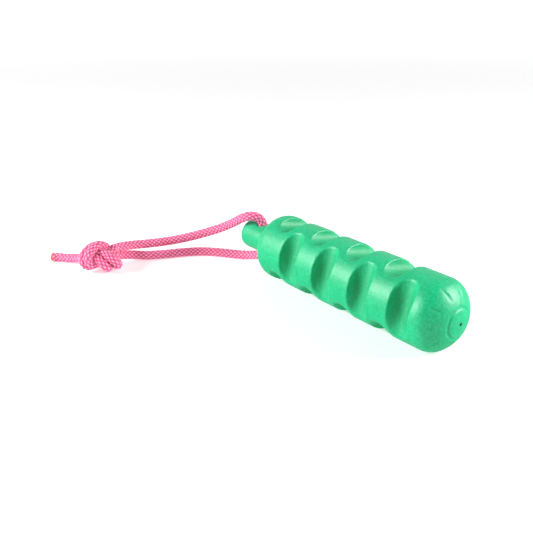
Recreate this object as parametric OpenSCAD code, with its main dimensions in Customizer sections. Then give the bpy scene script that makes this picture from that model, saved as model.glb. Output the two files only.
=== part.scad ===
// Throwing and retrieving bumper for dog training: a ribbed rubber stick with a
// buoyant foam core, and a braided throwing cord looped through a hole in its neck.
// Units are millimetres. The bumper lies on its side along X with its nose towards +X.
// Origin: middle of the bumper's own box, on the surface that it lies on.

/* [Bumper] */
// Outer diameter of the round body
body_d = 50; // [40:1:60]
// Length of the body from its shoulder to the tip of its nose
body_len = 176; // [170:1:200]
// Height of the domed nose
nose_h = 18.7; // [16:0.1:22]
// Corner radius between the body's side and its nose
nose_knuckle_r = 13.7; // [11:0.1:16]
// Corner radius of the shoulder
shoulder_r = 11; // [6:1:13]
// Wall radius of the small vent in the nose
vent_r = 0.75; // [0.6:0.05:1.2]

/* [Neck] */
// Diameter of the neck
neck_d = 23; // [20:0.5:26]
// Length of the neck from its end to the shoulder
neck_len = 34; // [32:1:40]
// Corner radius of the neck's end
neck_round_r = 5; // [3:0.5:7]
// Distance from the neck's end to the middle of the cord hole
hole_inset = 17; // [16:0.5:19]
// Diameter of the cord hole through the neck
hole_d = 8.5; // [8:0.1:10]

/* [Grip grooves] */
// Number of columns of grooves round the body
groove_columns = 4; // [4:1:4]
// Number of grooves in each column
groove_rows = 4; // [2:1:4]
// Distance between grooves along a column
groove_pitch = 35; // [33:0.5:38]
// Radius of the round channel that makes a groove
groove_r = 8.25; // [7:0.25:9]
// Depth of a groove at its middle
groove_depth = 9.5; // [7:0.5:10]
// Distance from the shoulder to the first groove
first_groove = 23.5; // [21:0.5:25]
// Turn of the groove columns about the bumper's axis
groove_roll = 13; // [0:1:20]

/* [Nose pattern] */
// Number of short radial nicks round the nose
nick_count = 10; // [6:1:12]
// Radius of the channel that makes a nick
nick_r = 1.1; // [0.8:0.1:1.4]
// Depth of a nick and of the ring round the tip
nick_depth = 0.6; // [0.3:0.1:0.8]
// Radius of the ring round the tip
ring_r = 10.5; // [8:0.5:12]

/* [Foam core] */
// Diameter of the foam core
core_d = 24; // [18:1:25]
// Gap left between the foam core and the rubber round it
core_gap = 0.2; // [0.1:0.1:0.5]

/* [Throwing cord] */
// Diameter of the braided cord
cord_d = 7; // [6:0.5:7.5]
// Diameter of the tied knot
knot_d = 24; // [22:1:26]
// Length of the tied knot
knot_len = 37; // [34:1:40]
// Number of flat sides on a cord solid
cord_sides = 10; // [8:1:12]

/* [Hidden] */
$fn = 96;
through = 0.5;                             // overshoot of a cutting solid past a face
body_r = body_d / 2;
neck_r = neck_d / 2;
cord_r = cord_d / 2;
total_len = neck_len + body_len;
neck_x = -total_len / 2;                   // end of the neck
shoulder_x = neck_x + neck_len;
nose_x = total_len / 2;
hole_x = neck_x + hole_inset;
// The nose is a shallow spherical crown that runs into a rounded corner.
knuckle_x = nose_x - nose_h;               // middle of the corner's round, along the axis
knuckle_y = body_r - nose_knuckle_r;       // and out from the axis
crown_r = (nose_h * nose_h + knuckle_y * knuckle_y - nose_knuckle_r * nose_knuckle_r)
          / (2 * (nose_h - nose_knuckle_r));
crown_x = nose_x - crown_r;
crown_angle = atan2(knuckle_y, knuckle_x - crown_x);
groove_axis = body_r - groove_depth + groove_r;   // channel's middle, out from the axis
nick_angle = 45;                           // place of a nick round the nose's corner
ring_x = crown_x + sqrt(crown_r * crown_r - ring_r * ring_r);
core_r = core_d / 2;
core_start = shoulder_x + 10;
core_end = knuckle_x - 8;

// Ends of the straight stretch of cord in the neck hole
cord_low_z = 17;
cord_high_z = 33;
// Middle and direction, seen from above, of the knot that lies on the surface
knot_middle = [-161, -107, knot_d / 2];
knot_turn = 250;
// Route of the cord from the top of the neck hole to the knot
UPPER_ROUTE = [[-88, 0, 33], [-88, 0, 36], [-88.8, -1.3, 39.5], [-90.5, -3.8, 42],
               [-93.5, -7, 43], [-98, -9.5, 41.7], [-104, -10.5, 38.5], [-111, -10.7, 34.2],
               [-119, -11.5, 29.5], [-128, -14.5, 24.5], [-138, -20.5, 19.5],
               [-147, -28.5, 15.5], [-155, -38.5, 12.5], [-161.5, -50, 11], [-165, -63, 11.5],
               [-166, -76, 13.2], [-164.5, -87, 15], [-162.5, -95, 15.8]];
// Route of the cord from the bottom of the neck hole, along the surface, to the knot
LOWER_ROUTE = [[-88, 0, 17], [-88, 0, 13], [-90, -0.3, 9.8], [-95, -1, 7.6], [-101, -2, 5.8],
               [-107, -4, 4.5], [-114, -7.5, 3.7], [-121, -12, 3.5], [-128, -17, 3.5],
               [-135, -23, 3.5], [-142, -31.5, 3.5], [-148, -43, 3.5], [-153.5, -56, 3.6],
               [-158.5, -68, 4.2], [-164, -78, 5.6], [-166, -87, 7], [-164.5, -94, 8]];
// Routes of the two loose ends, out of the far side of the knot
LONG_TAIL = [[-170, -115.5, 10], [-175, -116, 8.8], [-181, -116.5, 7], [-188, -118.5, 5.4],
             [-195, -121.5, 4], [-201, -125, 3.5], [-205, -129, 3.5]];
SHORT_TAIL = [[-170, -112, 12], [-174, -110.5, 9.5], [-178, -108, 6.5], [-180.5, -105, 4.5]];

// Direction that a swept tube's first side faces, never in line with a route
SIDE = [0.8, -0.6, 0];

function unit(v) = v / norm(v);
function heading(route, i) =
    let (last = len(route) - 1)
    unit(route[min(i + 1, last)] - route[max(i - 1, 0)]);
function ring(route, i) =
    let (t = heading(route, i), a = unit(cross(t, SIDE)), b = cross(t, a))
    [for (k = [0:cord_sides - 1])
        let (turn = 360 * k / cord_sides)
        route[i] + cord_r * (cos(turn) * a + sin(turn) * b)];

// One closed tube with a ring of corners at each point of its route
module swept_cord(route) {
    rings = len(route);
    corners = [for (i = [0:rings - 1]) each ring(route, i)];
    walls = [for (i = [0:rings - 2], k = [0:cord_sides - 1])
        let (next = (k + 1) % cord_sides)
        [i * cord_sides + k, (i + 1) * cord_sides + k,
         (i + 1) * cord_sides + next, i * cord_sides + next]];
    first_cap = [for (k = [0:cord_sides - 1]) k];
    last_cap = [for (k = [cord_sides - 1:-1:0]) (rings - 1) * cord_sides + k];
    polyhedron(points = corners, faces = concat([first_cap], walls, [last_cap]), convexity = 6);
}

// Puts a shape turned about Z along +X instead, at the height of the bumper's axis
module along_bumper() {
    translate([0, 0, body_r]) rotate([0, 90, 0]) children();
}

// Half outline of the bumper: X is out from the axis and Y is along it
module bumper_outline() {
    // neck with a rounded end
    translate([0, neck_x]) square([neck_r - neck_round_r, neck_len + shoulder_r]);
    translate([0, neck_x + neck_round_r]) square([neck_r, neck_len - neck_round_r + shoulder_r]);
    translate([neck_r - neck_round_r, neck_x + neck_round_r]) circle(r = neck_round_r);
    // body with a rounded shoulder
    translate([0, shoulder_x]) square([body_r - shoulder_r, shoulder_r]);
    translate([body_r - shoulder_r, shoulder_x + shoulder_r]) circle(r = shoulder_r);
    translate([0, shoulder_x + shoulder_r]) square([body_r, knuckle_x - shoulder_x - shoulder_r]);
    // domed nose: rounded corner, then the part of the crown inside it
    translate([knuckle_y, knuckle_x]) circle(r = nose_knuckle_r);
    intersection() {
        translate([0, crown_x]) circle(r = crown_r);
        polygon([[0, knuckle_x - 1], [knuckle_y, knuckle_x - 1], [knuckle_y, knuckle_x],
                 [0, crown_x] + 2 * crown_r * [sin(crown_angle), cos(crown_angle)],
                 [0, crown_x + 2 * crown_r]]);
    }
}

// Capsule along Z from 0, of a radius and a length, with round ends
module capsule(r, length) {
    rotate_extrude() intersection() {
        union() {
            translate([0, r]) circle(r = r);
            translate([0, length - r]) circle(r = r);
            translate([0, r]) square([r, length - 2 * r]);
        }
        square([r, length]);
    }
}

// All the channels that cut the grip grooves, each second column half a pitch on
module groove_channels() {
    for (column = [0:groove_columns - 1], row = [0:groove_rows - 1]) {
        stagger = (column % 2) * groove_pitch / 2;
        translate([shoulder_x + first_groove + stagger + row * groove_pitch, 0, body_r])
            rotate([360 / groove_columns * column - groove_roll, 0, 0])
                translate([0, 0, groove_axis])
                    rotate([90, 0, 0]) cylinder(r = groove_r, h = body_d, center = true);
    }
}

// Short radial nicks round the nose's corner
module nose_nicks() {
    reach = nose_knuckle_r + nick_r - nick_depth;
    for (i = [0:nick_count - 1])
        translate([0, 0, body_r]) rotate([360 / nick_count * (i + 0.5), 0, 0])
            translate([knuckle_x + reach * cos(nick_angle), 0, knuckle_y + reach * sin(nick_angle)])
                rotate([0, 90 + nick_angle, 0]) cylinder(r = nick_r, h = body_r, center = true);
}

// Shallow ring pressed into the nose round the vent
module tip_ring() {
    along_bumper() rotate_extrude()
        translate([ring_r, ring_x + nick_r - nick_depth]) circle(r = nick_r);
}

module bumper_shell() color("mediumseagreen") difference() {
    along_bumper() rotate_extrude() intersection() {
        bumper_outline();
        translate([0, neck_x]) square([body_r, total_len]);
    }
    groove_channels();
    nose_nicks();
    tip_ring();
    // pocket for the core, and the vent that leads to it
    translate([core_start - core_gap, 0, 0]) along_bumper()
        capsule(core_r + core_gap, core_end - core_start + 2 * core_gap);
    translate([core_end - core_r, 0, 0]) along_bumper()
        cylinder(r = vent_r, h = nose_x - core_end + core_r + through);
    // cord hole straight down through the neck
    translate([hole_x, 0, -through]) cylinder(d = hole_d, h = body_d);
}

module foam_core() color("ivory")
    translate([core_start, 0, 0]) along_bumper() capsule(core_r, core_end - core_start);

module cord_in_neck() color("hotpink")
    translate([hole_x, 0, cord_low_z]) cylinder(r = cord_r, h = cord_high_z - cord_low_z);

module cord_upper_run() color("hotpink") swept_cord(UPPER_ROUTE);

module cord_lower_run() color("hotpink") swept_cord(LOWER_ROUTE);

module cord_knot() color("hotpink")
    translate(knot_middle) rotate([0, 90, knot_turn])
        translate([0, 0, -knot_len / 2]) capsule(knot_d / 2, knot_len);

module cord_tail_long() color("hotpink") swept_cord(LONG_TAIL);

module cord_tail_short() color("hotpink") swept_cord(SHORT_TAIL);

// Rounded end where the melted braid closes a tail
module sealed_tip(route) {
    last = len(route) - 1;
    t = heading(route, last);
    translate(route[last]) rotate([0, acos(t[2]), atan2(t[1], t[0])])
        rotate_extrude() intersection() {
            circle(r = cord_r);
            square([cord_r, cord_r]);
        }
}

module sealed_tip_long() color("palevioletred") sealed_tip(LONG_TAIL);

module sealed_tip_short() color("palevioletred") sealed_tip(SHORT_TAIL);

bumper_shell();
foam_core();
cord_in_neck();
cord_upper_run();
cord_lower_run();
cord_knot();
cord_tail_long();
cord_tail_short();
sealed_tip_long();
sealed_tip_short();
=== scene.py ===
"""Looks of the training bumper: a grooved rubber stick with a braided throwing cord."""
import math

import bmesh
import bpy
import numpy as np
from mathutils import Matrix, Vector


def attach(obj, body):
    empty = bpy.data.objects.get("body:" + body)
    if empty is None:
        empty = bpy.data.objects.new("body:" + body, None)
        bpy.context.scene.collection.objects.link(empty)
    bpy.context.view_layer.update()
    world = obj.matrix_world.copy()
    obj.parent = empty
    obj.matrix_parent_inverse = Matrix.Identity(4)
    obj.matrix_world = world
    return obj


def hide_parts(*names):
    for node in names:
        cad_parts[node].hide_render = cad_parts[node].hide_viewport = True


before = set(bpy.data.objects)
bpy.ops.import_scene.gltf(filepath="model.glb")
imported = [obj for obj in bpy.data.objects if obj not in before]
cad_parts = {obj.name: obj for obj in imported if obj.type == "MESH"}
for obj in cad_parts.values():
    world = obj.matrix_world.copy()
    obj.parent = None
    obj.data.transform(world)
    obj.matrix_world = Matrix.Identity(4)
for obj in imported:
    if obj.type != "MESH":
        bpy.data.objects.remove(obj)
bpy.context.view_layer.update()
scene = bpy.context.scene
MM = 0.001                 # one millimetre, in the frame's metres

# ---------------------------------------------------------------- camera

CAMERA_PLACE = (0.3246, -0.3300, 0.2260)
CAMERA_TURN = 51.035       # degrees round Z, from looking along +Y
CAMERA_DROP = 23.234       # degrees below the horizon
CAMERA_LENS = 47.28        # millimetres, on a sensor of this width
SENSOR_WIDTH = 36.0


def add_camera():
    data = bpy.data.cameras.new("camera")
    data.lens = CAMERA_LENS
    data.sensor_width = SENSOR_WIDTH
    data.clip_start = 0.01
    data.clip_end = 20.0
    camera = bpy.data.objects.new("camera", data)
    camera.location = CAMERA_PLACE
    camera.rotation_euler = (math.radians(90 - CAMERA_DROP), 0, math.radians(CAMERA_TURN))
    scene.collection.objects.link(camera)
    scene.camera = camera


add_camera()

# ---------------------------------------------------------------- the cord's routes

# In metres, the same points as in the CAD source
UPPER_ROUTE = [
    (-0.088, 0, 0.033), (-0.088, 0, 0.036), (-0.0888, -0.0013, 0.0395),
    (-0.0905, -0.0038, 0.042), (-0.0935, -0.007, 0.043), (-0.098, -0.0095, 0.0417),
    (-0.104, -0.0105, 0.0385), (-0.111, -0.0107, 0.0342), (-0.119, -0.0115, 0.0295),
    (-0.128, -0.0145, 0.0245), (-0.138, -0.0205, 0.0195), (-0.147, -0.0285, 0.0155),
    (-0.155, -0.0385, 0.0125), (-0.1615, -0.050, 0.011), (-0.165, -0.063, 0.0115),
    (-0.166, -0.076, 0.0132), (-0.1645, -0.087, 0.015), (-0.1625, -0.095, 0.0158)]
LOWER_ROUTE = [
    (-0.088, 0, 0.017), (-0.088, 0, 0.013), (-0.090, -0.0003, 0.0098), (-0.095, -0.001, 0.0076),
    (-0.101, -0.002, 0.0058), (-0.107, -0.004, 0.0045), (-0.114, -0.0075, 0.0037),
    (-0.121, -0.012, 0.0035), (-0.128, -0.017, 0.0035), (-0.135, -0.023, 0.0035),
    (-0.142, -0.0315, 0.0035), (-0.148, -0.043, 0.0035), (-0.1535, -0.056, 0.0036),
    (-0.1585, -0.068, 0.0042), (-0.164, -0.078, 0.0056), (-0.166, -0.087, 0.007),
    (-0.1645, -0.094, 0.008)]
NECK_ROUTE = [LOWER_ROUTE[0], (-0.088, 0, 0.025), UPPER_ROUTE[0]]
LONG_TAIL = [
    (-0.170, -0.1155, 0.010), (-0.175, -0.116, 0.0088), (-0.181, -0.1165, 0.007),
    (-0.188, -0.1185, 0.0054), (-0.195, -0.1215, 0.004), (-0.201, -0.125, 0.0035),
    (-0.205, -0.129, 0.0035)]
SHORT_TAIL = [
    (-0.170, -0.112, 0.012), (-0.174, -0.1105, 0.0095), (-0.178, -0.108, 0.0065),
    (-0.1805, -0.105, 0.0045)]
CORD_R = 3.5 * MM

# The knot's own axes: across points to the bumper, up leans back, and out faces the side that shows
KNOT_MIDDLE = np.array((-0.161, -0.107, 0.012))
KNOT_TURN = math.radians(51)
KNOT_LEAN = math.radians(23)
ACROSS = np.array([math.cos(KNOT_TURN), math.sin(KNOT_TURN), 0])
OUT = np.array([math.sin(KNOT_TURN) * math.cos(KNOT_LEAN),
                -math.cos(KNOT_TURN) * math.cos(KNOT_LEAN), math.sin(KNOT_LEAN)])
UP = np.cross(OUT, ACROSS)
# An overhand knot tied in the doubled cord: where each strand runs inside it, in millimetres
# across, up and out from the knot's middle
UPPER_IN_KNOT = [
    (3.0, 3.2, -3.0), (-3.0, 0.0, -2.0), (-6.0, -5.6, 0.8), (-6.0, -9.2, 5.2), (-9.4, -4.2, 8.6),
    (-9.6, 1.6, 8.8), (-6.2, 6.8, 7.4), (-0.8, 9.6, 3.5), (3.0, 8.8, -5.0), (4.0, 4.2, -12.0),
    (3.5, -1.5, -15.0), (9.5, -6.2, -7.0), (16.4, -7.2, 0.4), (14.4, -5.2, 5.0), (8.0, -0.2, 5.9),
    (2.6, 4.6, 4.2), (-3.0, 4.4, 0.5)]
LOWER_IN_KNOT = [
    (3.5, -1.5, -6.5), (-2.5, -4.8, -4.0), (-9.0, -7.6, -3.0), (-12.2, -6.6, 1.5),
    (-13.9, -0.2, 4.2), (-11.9, 5.6, 3.0), (-6.0, 8.8, -0.5), (-1.5, 9.4, -3.5),
    (-2.5, 5.5, -9.5), (-3.0, -0.5, -12.0), (0.5, -4.9, -10.0), (4.5, -8.6, -2.0),
    (7.6, -11.6, 4.6), (3.6, -6.2, 7.6), (-2.0, -0.6, 7.0), (-7.0, 0.4, 1.5)]
LEAD_OVERLAP = 0.2         # share of a run's last step that the knot's strand laps over
TAIL_OVERLAP = 0.3         # the same at a tail's first step

# ---------------------------------------------------------------- smooth lines

SPLINE_CUTS = 24           # fine steps between two points of a route
LEAST_GAP = 1e-9           # metres, so that nothing is divided by zero
RING_START = (0.8, -0.6, 0.0)   # a direction that no line starts along


def equal_steps(line, step):
    """The same line, cut into equal steps close to the given one."""
    along = np.concatenate([[0], np.cumsum(np.linalg.norm(np.diff(line, axis=0), axis=1))])
    count = max(3, int(round(along[-1] / step)) + 1)
    at = np.linspace(0, along[-1], count)
    return np.stack([np.interp(at, along, line[:, axis]) for axis in range(3)], axis=1)


def smooth_line(points, step):
    """A smooth line through the points, cut into equal steps."""
    p = np.array(points, float)
    gaps = np.maximum(np.linalg.norm(np.diff(p, axis=0), axis=1), LEAST_GAP) ** 0.5
    t = np.concatenate([[0], np.cumsum(gaps)])
    slope = np.empty_like(p)
    slope[1:-1] = (p[2:] - p[:-2]) / (t[2:] - t[:-2])[:, None]
    slope[0] = (p[1] - p[0]) / gaps[0]
    slope[-1] = (p[-1] - p[-2]) / gaps[-1]
    u = np.linspace(0, 1, SPLINE_CUTS, endpoint=False)[:, None]
    fine = []
    for i, gap in enumerate(gaps):
        fine.append((2 * u**3 - 3 * u**2 + 1) * p[i] + (u**3 - 2 * u**2 + u) * gap * slope[i]
                    + (3 * u**2 - 2 * u**3) * p[i + 1] + (u**3 - u**2) * gap * slope[i + 1])
    return equal_steps(np.concatenate(fine + [p[-1:]]), step)


def headings(line):
    """The line's direction at each point, one unit long."""
    way = np.gradient(line, axis=0)
    return way / np.linalg.norm(way, axis=1, keepdims=True)


def ring_axes(line):
    """Two directions across the line at each point, turned as little as possible along it."""
    way = headings(line)
    side = np.cross(way[0], RING_START)
    sides = []
    for t in way:
        side = side - t * side.dot(t)
        side = side / np.linalg.norm(side)
        sides.append(side)
    sides = np.array(sides)
    return sides, np.cross(way, sides)


# ---------------------------------------------------------------- tubes of braid

RING_STEP = 0.35 * MM      # between the rings of a braided tube
RING_SIDES = 48
STRANDS_EACH_WAY = 7       # carriers of the braid that turn each way
STITCH_LENGTH = 4.0 * MM   # one stitch along the cord
STITCH_HEIGHT = 0.85 * MM  # from the crown of a stitch to the crease beside it
HEIGHT_AT_CORD_R = 0.6     # braid height that lies at the cord's nominal radius
STITCH_DIVE = 0.42 * math.pi   # how far a stitch bends down at its two ends
CAP_HEIGHT = 0.5           # braid height given to the middle of a tube's flat end


def braid_height(along, turn):
    """Height of the braid, 0 in a crease to 1 on a crown, for strands that pass over and under."""
    u = turn * STRANDS_EACH_WAY + along / STITCH_LENGTH
    v = turn * STRANDS_EACH_WAY - along / STITCH_LENGTH
    odd = (np.floor(u) + np.floor(v)) % 2
    fu = 2 * (u - np.floor(u)) - 1
    fv = 2 * (v - np.floor(v)) - 1
    across = np.where(odd == 0, fu, fv)
    length = np.where(odd == 0, fv, fu)
    return np.sqrt(np.clip(1 - across**2, 0, 1)) * np.cos(STITCH_DIVE * length)


def tube_walls(rings):
    """Quads between each ring of points and the next."""
    first = np.arange(rings - 1)[:, None] * RING_SIDES
    here = np.arange(RING_SIDES)[None, :]
    after = (here + 1) % RING_SIDES
    quads = [first + here, first + after, first + RING_SIDES + after, first + RING_SIDES + here]
    return np.stack(quads, axis=-1).reshape(-1, 4).tolist()


def wall_coords(along):
    """Distance along the cord and turn round it, for each corner of each quad of the walls."""
    place = np.stack([along[:-1], along[:-1], along[1:], along[1:]], axis=-1)[:, None, :]
    turn = (np.arange(RING_SIDES)[None, :, None] + np.array([0, 1, 1, 0])) / RING_SIDES
    return np.stack(np.broadcast_arrays(place, turn), axis=-1).reshape(-1, 2)


def end_cap(ring, middle):
    """Triangles that close a tube, from its first or last ring to the point in the middle."""
    faces = []
    for k in range(RING_SIDES):
        here = ring * RING_SIDES + k
        after = ring * RING_SIDES + (k + 1) % RING_SIDES
        faces.append([middle, after, here] if ring == 0 else [middle, here, after])
    return faces


def braided_tube(line):
    """Points, faces, braid coordinates and heights of one closed tube of braid along the line."""
    side, other = ring_axes(line)
    last = len(line) - 1
    along = np.arange(last + 1) * np.linalg.norm(line[1] - line[0])
    turn = np.arange(RING_SIDES) / RING_SIDES
    height = braid_height(along[:, None], turn[None, :])
    out = CORD_R + STITCH_HEIGHT * (height - HEIGHT_AT_CORD_R)
    angle = 2 * math.pi * turn
    spoke = (np.cos(angle)[None, :, None] * side[:, None]
             + np.sin(angle)[None, :, None] * other[:, None])
    rings = (line[:, None] + out[..., None] * spoke).reshape(-1, 3)
    faces = tube_walls(last + 1)
    coords = [wall_coords(along)]
    for ring, middle in ((0, len(rings)), (last, len(rings) + 1)):
        faces += end_cap(ring, middle)
        coords.append(np.repeat([(along[ring], t) for t in turn], 3, axis=0))
    points = np.vstack([rings, line[:1], line[-1:]])
    heights = np.concatenate([height.reshape(-1), [CAP_HEIGHT, CAP_HEIGHT]])
    return points, faces, np.concatenate(coords), heights


def link_piece(name, mesh):
    mesh.shade_smooth()
    piece = bpy.data.objects.new(name, mesh)
    scene.collection.objects.link(piece)
    return piece


def braid_piece(name, lines):
    """One mesh object with a closed tube of braid along each line."""
    points, faces, coords, heights = [], [], [], []
    first = 0
    for line in lines:
        tube_points, tube_faces, tube_coords, tube_heights = braided_tube(line)
        points.append(tube_points)
        faces += [[first + corner for corner in face] for face in tube_faces]
        coords.append(tube_coords)
        heights.append(tube_heights)
        first += len(tube_points)
    mesh = bpy.data.meshes.new(name)
    mesh.from_pydata(np.concatenate(points).tolist(), [], faces)
    layer = mesh.uv_layers.new(name="braid")
    layer.data.foreach_set("uv", np.concatenate(coords).astype(np.float32).ravel())
    # The braid's height on each point, which the material uses for painted shade in the creases and
    # painted highlight on the crowns
    crown = mesh.attributes.new("crown", "FLOAT", "POINT")
    crown.data.foreach_set("value", np.concatenate(heights).astype(np.float32))
    return link_piece(name, mesh)


# ---------------------------------------------------------------- the knot

STRAND_GAP = 5.6 * MM      # between the middles of two strands pressed together in the knot
SETTLE_STEP = 1.0 * MM     # between the points of a strand while it settles
SETTLE_ROUNDS = 160
SAME_STRETCH = 12          # steps within which a strand doesn't push itself away
EASE_STEPS = 4             # over which a strand goes from fixed, at its end, to free
PUSH_SHARE = 0.12          # of an overlap, undone in each round
SMOOTH_SHARE = 0.35        # of the way to the middle of the points beside it, in each round
LOWEST_MIDDLE = 0.97 * CORD_R   # of a strand above the surface that it lies on


def knot_point(place):
    across, up, out = place
    return KNOT_MIDDLE + MM * (across * ACROSS + up * UP + out * OUT)


def settle(strands):
    """Pushes strands that cut into each other apart, keeps them smooth and above the surface."""
    sizes = [len(s) for s in strands]
    p = np.concatenate(strands)
    strand = np.repeat(np.arange(len(sizes)), sizes)
    index = np.concatenate([np.arange(n) for n in sizes])
    to_end = np.concatenate([np.minimum(np.arange(n), n - 1 - np.arange(n)) for n in sizes])
    near = (strand[:, None] == strand[None]) & (abs(index[:, None] - index[None]) < SAME_STRETCH)
    free = (np.clip(to_end - 1, 0, EASE_STEPS) / EASE_STEPS)[:, None]
    inner = np.flatnonzero(to_end > 0)
    for _ in range(SETTLE_ROUNDS):
        away = p[:, None] - p[None]
        gap = np.linalg.norm(away, axis=2)
        short = np.where(near, 0, np.clip(STRAND_GAP - gap, 0, None))
        push = (away / np.maximum(gap, LEAST_GAP)[..., None] * short[..., None]).sum(axis=1)
        p = p + PUSH_SHARE * free * push
        bend = np.zeros_like(p)
        bend[inner] = (p[inner - 1] + p[inner + 1]) / 2 - p[inner]
        p = p + SMOOTH_SHARE * free * bend
        p[:, 2] = np.maximum(p[:, 2], LOWEST_MIDDLE)
    return np.split(p, np.cumsum(sizes)[:-1])


def part_way(start, end, share):
    """The point that lies this share of the way from start to end."""
    return (1 - share) * np.array(start) + share * np.array(end)


def knot_strands():
    """The two strands of the knot: each comes from a run, crosses the knot and ends in a tail."""
    lines = []
    for run, inside, tail in ((UPPER_ROUTE, UPPER_IN_KNOT, SHORT_TAIL),
                              (LOWER_ROUTE, LOWER_IN_KNOT, LONG_TAIL)):
        route = [part_way(run[-1], run[-2], LEAD_OVERLAP), run[-1]]
        route += [knot_point(place) for place in inside]
        route += [tail[0], part_way(tail[0], tail[1], TAIL_OVERLAP)]
        lines.append(smooth_line(route, SETTLE_STEP))
    return settle(lines)


# ---------------------------------------------------------------- melted ends

TIP_ROWS = 18
TIP_SIDES = 28
TIP_R = 1.06 * CORD_R
TIP_FRONT = 0.86 * CORD_R  # how far the melted blob reaches past its middle
TIP_BACK = 0.55 * CORD_R   # and back over the braid
TIP_SINK = 0.2 * MM        # from the end of the braid back to the blob's middle


def tip_lump(turn, lean):
    """How much wider the melted end is than a plain round one."""
    return 1 + 0.05 * math.sin(3 * turn + 1.3) * math.sin(lean) + 0.03 * math.sin(5 * turn + 4 * lean)


def weld_and_close(mesh):
    """Joins the points that fall together at the poles and turns all faces outwards."""
    work = bmesh.new()
    work.from_mesh(mesh)
    bmesh.ops.remove_doubles(work, verts=work.verts, dist=1e-6)
    bmesh.ops.recalc_face_normals(work, faces=work.faces)
    work.to_mesh(mesh)
    work.free()


def melted_tip(name, route):
    """The end of a tail, melted into a rounded blob a little fatter than the braid."""
    line = smooth_line(route, RING_STEP)
    way = headings(line)[-1]
    side, other = (axes[-1] for axes in ring_axes(line))
    middle = line[-1] - way * TIP_SINK
    points = []
    for i in range(TIP_ROWS + 1):
        lean = math.pi * i / TIP_ROWS
        reach = TIP_FRONT if lean < math.pi / 2 else TIP_BACK
        for k in range(TIP_SIDES):
            turn = 2 * math.pi * k / TIP_SIDES
            out = TIP_R * tip_lump(turn, lean) * math.sin(lean)
            points.append(middle + way * reach * math.cos(lean)
                          + out * (math.cos(turn) * side + math.sin(turn) * other))
    faces = []
    for i in range(TIP_ROWS):
        row, below = i * TIP_SIDES, (i + 1) * TIP_SIDES
        for k in range(TIP_SIDES):
            after = (k + 1) % TIP_SIDES
            faces.append([row + k, below + k, below + after, row + after])
    mesh = bpy.data.meshes.new(name)
    mesh.from_pydata([p.tolist() for p in points], [], faces)
    weld_and_close(mesh)
    return link_piece(name, mesh)


# ---------------------------------------------------------------- the cord's pieces

STANDS_FOR = {
    "loop_upper_run": "cord_upper_run", "loop_lower_run": "cord_lower_run",
    "loop_in_neck": "cord_in_neck", "tied_knot": "cord_knot",
    "tail_long_braid": "cord_tail_long", "tail_short_braid": "cord_tail_short",
    "melted_tip_long": "sealed_tip_long", "melted_tip_short": "sealed_tip_short"}


def is_melted(name):
    return name.startswith("melted")


def make_cords():
    upper_line = smooth_line(UPPER_ROUTE, RING_STEP)
    lower_line = smooth_line(LOWER_ROUTE, RING_STEP)
    lines = {
        "loop_upper_run": [upper_line],
        "loop_lower_run": [lower_line],
        "loop_in_neck": [smooth_line(NECK_ROUTE, RING_STEP)],
        "tied_knot": [equal_steps(strand, RING_STEP) for strand in knot_strands()],
        "tail_long_braid": [smooth_line(LONG_TAIL, RING_STEP)],
        "tail_short_braid": [smooth_line(SHORT_TAIL, RING_STEP)]}
    made = {name: braid_piece(name, piece_lines) for name, piece_lines in lines.items()}
    made["melted_tip_long"] = melted_tip("melted_tip_long", LONG_TAIL)
    made["melted_tip_short"] = melted_tip("melted_tip_short", SHORT_TAIL)
    for name, piece in made.items():
        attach(piece, "cord_loop")
        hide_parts(STANDS_FOR[name])
    return made


cord_pieces = make_cords()

# ---------------------------------------------------------------- the rubber body's shape

# In millimetres. X runs from the neck to the nose. The sizes are the CAD source's, except that
# its nicks are 0.1 mm deeper and its corners are sharp where these are blended
BODY_R = 25.0
SHOULDER_X = -71.0
SHOULDER_R = 11.0
NOSE_X = 105.0
NOSE_H = 18.7              # length of the domed nose
KNUCKLE_R = 13.7           # round edge between the bar and the nose's flatter crown
KNUCKLE_X = NOSE_X - NOSE_H
KNUCKLE_Y = BODY_R - KNUCKLE_R
CROWN_R = (NOSE_H**2 + KNUCKLE_Y**2 - KNUCKLE_R**2) / (2 * (NOSE_H - KNUCKLE_R))
CROWN_X = NOSE_X - CROWN_R
NECK_X = -105.0
NECK_R = 11.5
NECK_ROUND = 5.0
NECK_BLEND = 2.5           # soft inner corner between neck and shoulder
HOLE_X = -88.0
HOLE_R = 4.25
HOLE_BLEND = 1.0
GROOVE_COLUMNS = 4
GROOVE_ROWS = 4
GROOVE_R = 8.25
GROOVE_OUT = 23.75         # from the bumper's axis to a groove's own
GROOVE_FIRST = -47.5
GROOVE_PITCH = 35.0
GROOVE_ROLL = math.radians(13)
GROOVE_BLEND = 1.3
VENT_R = 0.75
NICKS = 10                 # short radial marks round the nose, with a ring inside them
NICK_R = 1.1
NICK_DEPTH = 0.5
RING_R = 10.5
RING_X = CROWN_X + math.sqrt(CROWN_R**2 - RING_R**2) + NICK_R - NICK_DEPTH
MARK_BLEND = 0.6
CORE_R = 12.2              # pocket for the foam core
CORE_FIRST = -61.2 + CORE_R    # middles of the pocket's two round ends
CORE_LAST = 78.5 - CORE_R
NO_CUT = -9.0              # a distance that cuts nothing away


def blend_max(a, b, width):
    """The larger distance, with the corner where the two meet rounded over a width."""
    h = np.clip(width - abs(a - b), 0, None) / width
    return np.maximum(a, b) + h * h * width / 4


def rounded_end(x, r, end_x, full_r, round_r):
    """Distance to a bar of radius full_r that starts at end_x with a rounded edge."""
    dx = end_x + round_r - x
    dr = r - (full_r - round_r)
    return (np.hypot(np.maximum(dx, 0), np.maximum(dr, 0))
            + np.minimum(np.maximum(dx, dr), 0) - round_r)


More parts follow.
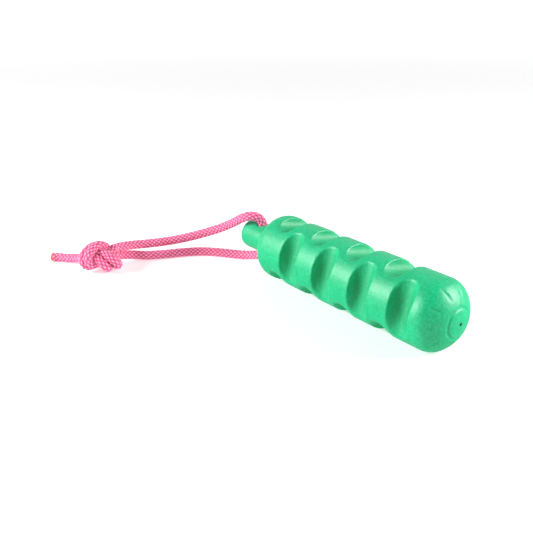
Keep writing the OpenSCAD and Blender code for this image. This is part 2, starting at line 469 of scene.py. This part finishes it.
def turned_outline(x, r):
    """Distance to the bumper before its grooves and holes are cut."""
    bar = rounded_end(x, r, SHOULDER_X, BODY_R, SHOULDER_R)
    knuckle = np.hypot(x - KNUCKLE_X, r - KNUCKLE_Y) - KNUCKLE_R
    crown = np.hypot(x - CROWN_X, r) - CROWN_R
    in_crown = r * (KNUCKLE_X - CROWN_X) < KNUCKLE_Y * (x - CROWN_X)
    body = np.where(x < KNUCKLE_X, bar, np.where(in_crown, crown, knuckle))
    neck = np.maximum(rounded_end(x, r, NECK_X, NECK_R, NECK_ROUND), x)
    return -blend_max(-body, -neck, NECK_BLEND)


def nose_marks(x, y, z, r):
    """Distance to the ring and the short radial nicks pressed into the nose."""
    ring = np.hypot(x - RING_X, r - RING_R) - NICK_R
    reach = KNUCKLE_R + NICK_R - NICK_DEPTH
    slant = math.sqrt(0.5)     # the nicks lie on the knuckle at 45 degrees
    pitch = 2 * math.pi / NICKS
    turn = (np.arctan2(-y, z) % pitch) - pitch / 2
    side = r * np.sin(turn)
    out = r * np.cos(turn)
    dx = x - KNUCKLE_X - reach * slant
    do = out - KNUCKLE_Y - reach * slant
    return np.minimum(ring, np.hypot((dx + do) * slant, side) - NICK_R)


def groove(x, y, z, column):
    """Distance to one column of grip grooves, set half a pitch on from the columns beside it."""
    angle = column * 2 * math.pi / GROOVE_COLUMNS - GROOVE_ROLL
    out = -y * math.sin(angle) + z * math.cos(angle)
    first = GROOVE_FIRST + (column % 2) * GROOVE_PITCH / 2
    row = np.clip(np.round((x - first) / GROOVE_PITCH), 0, GROOVE_ROWS - 1)
    return np.hypot(x - first - row * GROOVE_PITCH, out - GROOVE_OUT) - GROOVE_R


def bumper_distance(p):
    """Signed distance to the rubber, negative inside, for points in millimetres."""
    x, y, z = p[..., 0], p[..., 1], p[..., 2] - BODY_R
    r = np.hypot(y, z)
    d = turned_outline(x, r)
    for column in range(GROOVE_COLUMNS):
        d = blend_max(d, -groove(x, y, z, column), GROOVE_BLEND)
    d = blend_max(d, -nose_marks(x, y, z, r), MARK_BLEND)
    core_x = np.clip(x, CORE_FIRST, CORE_LAST)
    d = np.maximum(d, CORE_R - np.hypot(x - core_x, r))
    d = np.maximum(d, np.where(x > CORE_LAST, VENT_R - r, NO_CUT))
    return blend_max(d, HOLE_R - np.hypot(x - HOLE_X, y), HOLE_BLEND)


# ---------------------------------------------------------------- the rubber body's mesh

GRID_STEP = 0.8
GRID_LOW = (NECK_X - 2.1, -26.25, -1.25)   # a little outside the bumper on every side
GRID_HIGH = (NOSE_X + 2.1, 26.9, 51.9)
PROBE = 0.01               # half the length over which a slope is measured
LEAST_SLOPE = 0.25         # squared, so that a flat spot moves no point far
LONGEST_MOVE = 0.5
SURFACE_ROUNDS = 4         # steps that bring the grid's points onto the surface
RETURN_ROUNDS = 2          # and back onto it after each evening
EVEN_ROUNDS = 3
EVEN_SHARE = 0.5


def cell_numbers(inside):
    """A number for each grid cell that the surface crosses, and -1 for the others."""
    nx, ny, nz = inside.shape
    count = np.zeros((nx - 1, ny - 1, nz - 1), int)
    for i in (0, 1):
        for j in (0, 1):
            for k in (0, 1):
                count += inside[i:nx - 1 + i, j:ny - 1 + j, k:nz - 1 + k]
    crossed = (count > 0) & (count < 8)    # some of the cell's eight corners are inside
    number = np.full(crossed.shape, -1)
    number[crossed] = np.arange(crossed.sum())
    return number


def edge_quads(inside, number, axis):
    """A quad round each grid edge along the axis that the surface cuts."""
    u, v = (axis + 1) % 3, (axis + 2) % 3
    start = [slice(None)] * 3
    stop = [slice(None)] * 3
    start[axis] = slice(0, -1)
    stop[axis] = slice(1, None)
    a = inside[tuple(start)]
    b = inside[tuple(stop)]
    quads = []
    for cut, flipped in ((a & ~b, False), (~a & b, True)):
        at = np.argwhere(cut)
        corners = []
        for du, dv in ((-1, -1), (0, -1), (0, 0), (-1, 0)):
            cell = at.copy()
            cell[:, u] += du
            cell[:, v] += dv
            corners.append(number[tuple(cell.T)])
        quad = np.stack(corners, axis=1)
        quads.append(quad[:, ::-1] if flipped else quad)
    return quads


def surface_mesh(distance, low, high, step):
    """Quads round the zero surface of a distance field, one corner in each cell that it crosses."""
    axes = [np.arange(a, b, step) for a, b in zip(low, high)]
    grid = np.stack(np.meshgrid(*axes, indexing="ij"), axis=-1)
    inside = distance(grid) < 0
    number = cell_numbers(inside)
    points = (np.argwhere(number >= 0) + 0.5) * step + np.array([a[0] for a in axes])
    faces = [quad for axis in range(3) for quad in edge_quads(inside, number, axis)]
    return points, np.concatenate(faces)


def onto_surface(p, distance, rounds):
    """Moves each point along the field's slope until it lies on the surface."""
    probes = np.eye(3) * PROBE
    for _ in range(rounds):
        rises = [distance(p + s) - distance(p - s) for s in probes]
        slope = np.stack(rises, axis=1) / (2 * PROBE)
        size = np.maximum((slope**2).sum(axis=1, keepdims=True), LEAST_SLOPE)
        p = p - np.clip(distance(p)[:, None], -LONGEST_MOVE, LONGEST_MOVE) * slope / size
    return p


def evened(p, faces, share):
    """Moves each corner towards the middle of its neighbours."""
    total = np.zeros_like(p)
    count = np.zeros(len(p))
    for k in range(4):
        a, b = faces[:, k], faces[:, (k + 1) % 4]
        for here, there in ((a, b), (b, a)):
            for axis in range(3):
                total[:, axis] += np.bincount(here, p[there, axis], len(p))
            count += np.bincount(here, minlength=len(p))
    return p + share * (total / count[:, None] - p)


def make_body():
    points, faces = surface_mesh(bumper_distance, GRID_LOW, GRID_HIGH, GRID_STEP)
    points = onto_surface(points, bumper_distance, SURFACE_ROUNDS)
    for _ in range(EVEN_ROUNDS):
        points = onto_surface(evened(points, faces, EVEN_SHARE), bumper_distance, RETURN_ROUNDS)
    mesh = bpy.data.meshes.new("bumper_body")
    mesh.from_pydata((points * MM).tolist(), [], faces.tolist())
    # Depth below the unbroken turned outline, kept on each point for the painted shade in the grooves
    depth = -turned_outline(points[:, 0], np.hypot(points[:, 1], points[:, 2] - BODY_R))
    groove_shade_depth = mesh.attributes.new("groove_shade_depth", "FLOAT", "POINT")
    groove_shade_depth.data.foreach_set("value", np.clip(depth / GROOVE_R, 0, 1).astype(np.float32))
    piece = link_piece("bumper_body", mesh)
    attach(piece, "bumper")
    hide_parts("bumper_shell")
    return piece


body_piece = make_body()

# ---------------------------------------------------------------- building materials

BLACK = (0, 0, 0, 1)
WHITE = (1, 1, 1, 1)


def linear(*rgb):
    """A screen colour from 0 to 255 as Blender's linear one."""
    parts = [c / 255 for c in rgb]
    lit = [part / 12.92 if part <= 0.04045 else ((part + 0.055) / 1.055) ** 2.4 for part in parts]
    return (*lit, 1.0)


def grey(level):
    return (level, level, level, 1)


class Nodes:
    """Short calls to build a material's nodes."""

    def __init__(self, name):
        self.material = bpy.data.materials.new(name)
        self.material.use_nodes = True
        self.tree = self.material.node_tree
        self.shader = self.tree.nodes["Principled BSDF"]

    def feed(self, socket, value):
        """Links a node's output to the socket, or sets the socket to a plain value."""
        if isinstance(value, bpy.types.NodeSocket):
            self.tree.links.new(value, socket)
        else:
            socket.default_value = value

    def add(self, kind, **inputs):
        node = self.tree.nodes.new(kind)
        for key, value in inputs.items():
            self.feed(node.inputs[key.replace("_", " ")], value)
        return node

    def set(self, **inputs):
        """Sets inputs of the material's shader."""
        for key, value in inputs.items():
            self.feed(self.shader.inputs[key.replace("_", " ")], value)

    def place(self):
        return self.add("ShaderNodeTexCoord").outputs["Object"]

    def noise(self, place, scale, detail=3.0, rough=0.55):
        node = self.add("ShaderNodeTexNoise", Vector=place, Scale=scale, Detail=detail, Roughness=rough)
        return node.outputs["Fac"]

    def attribute(self, name):
        node = self.add("ShaderNodeAttribute")
        node.attribute_name = name
        return node.outputs["Fac"]

    def ramp(self, value, stops):
        node = self.add("ShaderNodeValToRGB", Fac=value)
        ramp = node.color_ramp
        while len(ramp.elements) < len(stops):
            ramp.elements.new(0.5)
        for element, (at, colour) in zip(ramp.elements, stops):
            element.position = at
            element.color = colour
        return node.outputs["Color"]

    def mix(self, factor, a, b):
        """A colour between two, whose inputs on Blender's Mix node are number 6 and 7."""
        node = self.add("ShaderNodeMix")
        node.data_type = "RGBA"
        for number, value in ((0, factor), (6, a), (7, b)):
            self.feed(node.inputs[number], value)
        return node.outputs[2]

    def math(self, operation, a, b):
        node = self.add("ShaderNodeMath")
        node.operation = operation
        for socket, value in zip(node.inputs, (a, b)):
            self.feed(socket, value)
        return node.outputs[0]

    def vector(self, operation, a, b=None):
        node = self.add("ShaderNodeVectorMath")
        node.operation = operation
        self.feed(node.inputs[0], a)
        if b is not None:
            self.feed(node.inputs[1], b)
        return node

    def span(self, value, low, high):
        node = self.add("ShaderNodeMapRange", Value=value)
        node.inputs["To Min"].default_value = low
        node.inputs["To Max"].default_value = high
        return node.outputs["Result"]

    def bump(self, height, strength, distance, normal=None):
        node = self.add("ShaderNodeBump", Height=height, Strength=strength, Distance=distance)
        if normal is not None:
            self.feed(node.inputs["Normal"], normal)
        return node.outputs["Normal"]


# ---------------------------------------------------------------- materials

VENT_SHADE_R = 1.15         # millimetres round the vent that are painted dark, as shade down the deep narrow hole
FIBRES = (2600.0, 60.0, 1.0)   # scale of the fibres' noise, per metre along and per turn round


def vent_shade_mask(nodes, place):
    """1 inside the air vent in the nose, where the moulding is painted dark as shade down the deep
    hole, and 0 elsewhere.
    """
    vent_place = (NOSE_X * MM, 0, BODY_R * MM)
    away = nodes.vector("DISTANCE", place, vent_place).outputs["Value"]
    return nodes.math("LESS_THAN", away, VENT_SHADE_R * MM)


def rubber_material():
    """Slightly glossy green rubber, mottled and grained, with painted shade down in the grooves and in
    the air vent.
    """
    nodes = Nodes("green_rubber")
    place = nodes.place()
    cloud = nodes.noise(place, 45.0, 4.0)
    mottle = nodes.noise(place, 620.0, 3.0, 0.7)
    grain = nodes.noise(place, 1400.0, 2.0, 0.6)
    swell = nodes.noise(place, 190.0, 2.0)
    colour = nodes.ramp(cloud, [(0.3, linear(2, 180, 116)), (0.7, linear(10, 196, 132))])
    pale = nodes.ramp(mottle, [(0.44, BLACK), (0.66, grey(0.6))])
    colour = nodes.mix(pale, colour, linear(40, 216, 156))
    # Painted shade: the colour darkens with depth down in the grooves, standing in for the shadow there
    groove_shade = nodes.span(nodes.attribute("groove_shade_depth"), 0.0, 0.28)
    colour = nodes.mix(groove_shade, colour, linear(0, 128, 66))
    # Painted shade: the air vent is painted dark, as the deep hole would lie in shadow
    colour = nodes.mix(vent_shade_mask(nodes, place), colour, linear(6, 40, 26))
    nodes.set(Base_Color=colour, Roughness=nodes.span(mottle, 0.34, 0.54))
    nodes.set(Specular_IOR_Level=0.65, Sheen_Weight=0.05, Sheen_Roughness=0.4)
    normal = nodes.bump(swell, 0.3, 0.3 * MM)
    normal = nodes.bump(mottle, 0.5, 0.4 * MM, normal)
    nodes.set(Normal=nodes.bump(grain, 0.6, 0.12 * MM, normal))
    return nodes.material


def braid_material():
    """Pink yarn, with painted shade that makes it deep pink in the creases between stitches, and
    painted highlight and glints that make it pale and flecked on their crowns.
    """
    nodes = Nodes("pink_braid")
    uv = nodes.add("ShaderNodeUVMap")
    uv.uv_map = "braid"
    stretched = nodes.vector("MULTIPLY", uv.outputs["UV"], FIBRES).outputs["Vector"]
    fibre = nodes.noise(stretched, 1.0, 3.0, 0.6)
    place = nodes.place()
    fleck = nodes.noise(place, 650.0, 2.0, 0.6)
    cloud = nodes.noise(place, 60.0, 2.0)
    crown = nodes.attribute("crown")
    # Painted shade and highlight: darker down in the creases, paler up on the crowns, by the braid's
    # height
    colour = nodes.ramp(crown, [
        (0.0, linear(168, 18, 70)), (0.38, linear(230, 78, 130)), (0.7, linear(255, 122, 172)),
        (0.95, linear(255, 182, 216))])
    # Painted glints: pale flecks only on the crowns
    crown_glints = nodes.span(nodes.math("MULTIPLY", fleck, crown), -0.9, 1.5)
    colour = nodes.mix(crown_glints, colour, linear(255, 212, 226))
    colour = nodes.mix(nodes.span(cloud, 0.0, 0.25), colour, linear(240, 104, 148))
    nodes.set(Base_Color=colour, Roughness=nodes.span(fibre, 0.5, 0.75))
    nodes.set(Specular_IOR_Level=0.4, Sheen_Weight=0.25, Sheen_Roughness=0.4)
    nodes.set(Normal=nodes.bump(fibre, 0.5, 0.12 * MM))
    return nodes.material


def melted_material():
    """Yarn melted hard and smooth, gone a little orange."""
    nodes = Nodes("melted_braid")
    place = nodes.place()
    cloud = nodes.noise(place, 420.0, 3.0)
    colour = nodes.ramp(cloud, [(0.3, linear(232, 92, 96)), (0.7, linear(246, 132, 128))])
    nodes.set(Base_Color=colour, Roughness=nodes.span(cloud, 0.3, 0.5))
    nodes.set(Normal=nodes.bump(nodes.noise(place, 700.0), 0.4, 0.2 * MM))
    return nodes.material


def foam_material():
    """Cream closed-cell foam, which no view shows."""
    nodes = Nodes("core_foam")
    place = nodes.place()
    cell = nodes.add("ShaderNodeTexVoronoi", Vector=place, Scale=900.0).outputs["Distance"]
    colour = nodes.ramp(cell, [(0.0, linear(214, 206, 186)), (0.6, linear(246, 241, 228))])
    nodes.set(Base_Color=colour, Roughness=nodes.span(nodes.noise(place, 300.0), 0.75, 0.95))
    nodes.set(Normal=nodes.bump(cell, 0.6, 0.3 * MM))
    return nodes.material


def put_material(objects, material):
    for thing in objects:
        thing.data.materials.clear()
        thing.data.materials.append(material)


put_material([body_piece], rubber_material())
put_material([p for name, p in cord_pieces.items() if not is_melted(name)], braid_material())
put_material([p for name, p in cord_pieces.items() if is_melted(name)], melted_material())
put_material([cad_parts["foam_core"]], foam_material())

# ---------------------------------------------------------------- floor, wall and light

FLOOR_HALF = 8.0           # metres
FLOOR_GLOW = 0.50          # of the floor near the object
GLOW_RISES = 0.06          # share of the floor's half width where the glow starts to grow
GLOW_FULL = 0.30           # and where it is full
WALL_R = 7.5
WALL_TOP = 9.0
WALL_FOOT = -0.2
WALL_SIDES = 48
BRIGHT_WAY = (-0.70, 0.70, 0.10)   # towards the brightest part of the room
ROOM_DIM = 0.02
ROOM_BRIGHT = 0.60
LIGHT_SIDE = 0.30
LIGHTS = {                 # place, target and watts
    "key_left": ((-0.50, -0.90, 0.50), (0, 0, 0.02), 14.5),
    "back_right": ((0.70, 0.60, 0.52), (0.05, 0, 0.03), 12.5)}


def floor_material():
    """Matt pale floor that glows a little, and more far from the object, where no lamp reaches."""
    nodes = Nodes("floor")
    place = nodes.place()
    tone = nodes.noise(place, 30.0, 2.0)
    away = nodes.vector("LENGTH", place).outputs["Value"]
    share = nodes.math("DIVIDE", away, FLOOR_HALF)
    glow = nodes.ramp(share, [(GLOW_RISES, grey(FLOOR_GLOW)), (GLOW_FULL, WHITE)])
    nodes.set(Base_Color=nodes.ramp(tone, [(0.3, grey(0.76)), (0.7, grey(0.80))]))
    nodes.set(Roughness=0.9, Specular_IOR_Level=0.1, Emission_Color=glow, Emission_Strength=1.0)
    return nodes.material


def backdrop_material():
    """Evenly glowing near-white."""
    nodes = Nodes("backdrop")
    tone = nodes.noise(nodes.place(), 0.5, 1.0)
    glow = nodes.ramp(tone, [(0.3, grey(0.97)), (0.7, WHITE)])
    nodes.set(Base_Color=BLACK, Emission_Color=glow, Emission_Strength=1.0)
    return nodes.material


def stage_piece(name, points, faces, material):
    mesh = bpy.data.meshes.new(name)
    mesh.from_pydata(points, [], faces)
    mesh.materials.append(material)
    piece = bpy.data.objects.new(name, mesh)
    scene.collection.objects.link(piece)
    piece.visible_glossy = False
    return piece


def add_stage():
    """The floor, and a round pale wall far behind it that lights nothing."""
    half = FLOOR_HALF
    corners = [(-half, -half, 0), (half, -half, 0), (half, half, 0), (-half, half, 0)]
    stage_piece("floor", corners, [(0, 1, 2, 3)], floor_material())
    turns = [2 * math.pi * k / WALL_SIDES for k in range(WALL_SIDES)]
    points = [(WALL_R * math.cos(turn), WALL_R * math.sin(turn), z)
              for z in (WALL_FOOT, WALL_TOP) for turn in turns]
    faces = []
    for k in range(WALL_SIDES):
        after = (k + 1) % WALL_SIDES
        faces.append((k, WALL_SIDES + k, WALL_SIDES + after, after))
    wall = stage_piece("backdrop", points, faces, backdrop_material())
    wall.visible_diffuse = False
    wall.visible_shadow = False


def add_light(name, place, target, watts):
    data = bpy.data.lights.new(name, "AREA")
    data.shape = "RECTANGLE"
    data.size = LIGHT_SIDE
    data.size_y = LIGHT_SIDE
    data.energy = watts
    light = bpy.data.objects.new(name, data)
    light.location = place
    light.rotation_euler = (Vector(target) - Vector(place)).to_track_quat("-Z", "Y").to_euler()
    scene.collection.objects.link(light)


def add_world():
    """A dim room that is brighter low down past the bumper's neck."""
    world = bpy.data.worlds.new("studio")
    scene.world = world
    world.use_nodes = True
    tree = world.node_tree
    place = tree.nodes.new("ShaderNodeTexCoord")
    facing = tree.nodes.new("ShaderNodeVectorMath")
    facing.operation = "DOT_PRODUCT"
    facing.inputs[1].default_value = BRIGHT_WAY
    level = tree.nodes.new("ShaderNodeMapRange")
    level.inputs["From Min"].default_value = 0.0
    level.inputs["To Min"].default_value = ROOM_DIM
    level.inputs["To Max"].default_value = ROOM_BRIGHT
    tree.links.new(place.outputs["Generated"], facing.inputs[0])
    tree.links.new(facing.outputs["Value"], level.inputs["Value"])
    tree.links.new(level.outputs["Result"], tree.nodes["Background"].inputs["Strength"])
    tree.nodes["Background"].inputs["Color"].default_value = WHITE


add_stage()
add_world()
for light_name, light_facts in LIGHTS.items():
    add_light(light_name, *light_facts)
scene.view_settings.view_transform = "Standard"
scene.view_settings.look = "None"
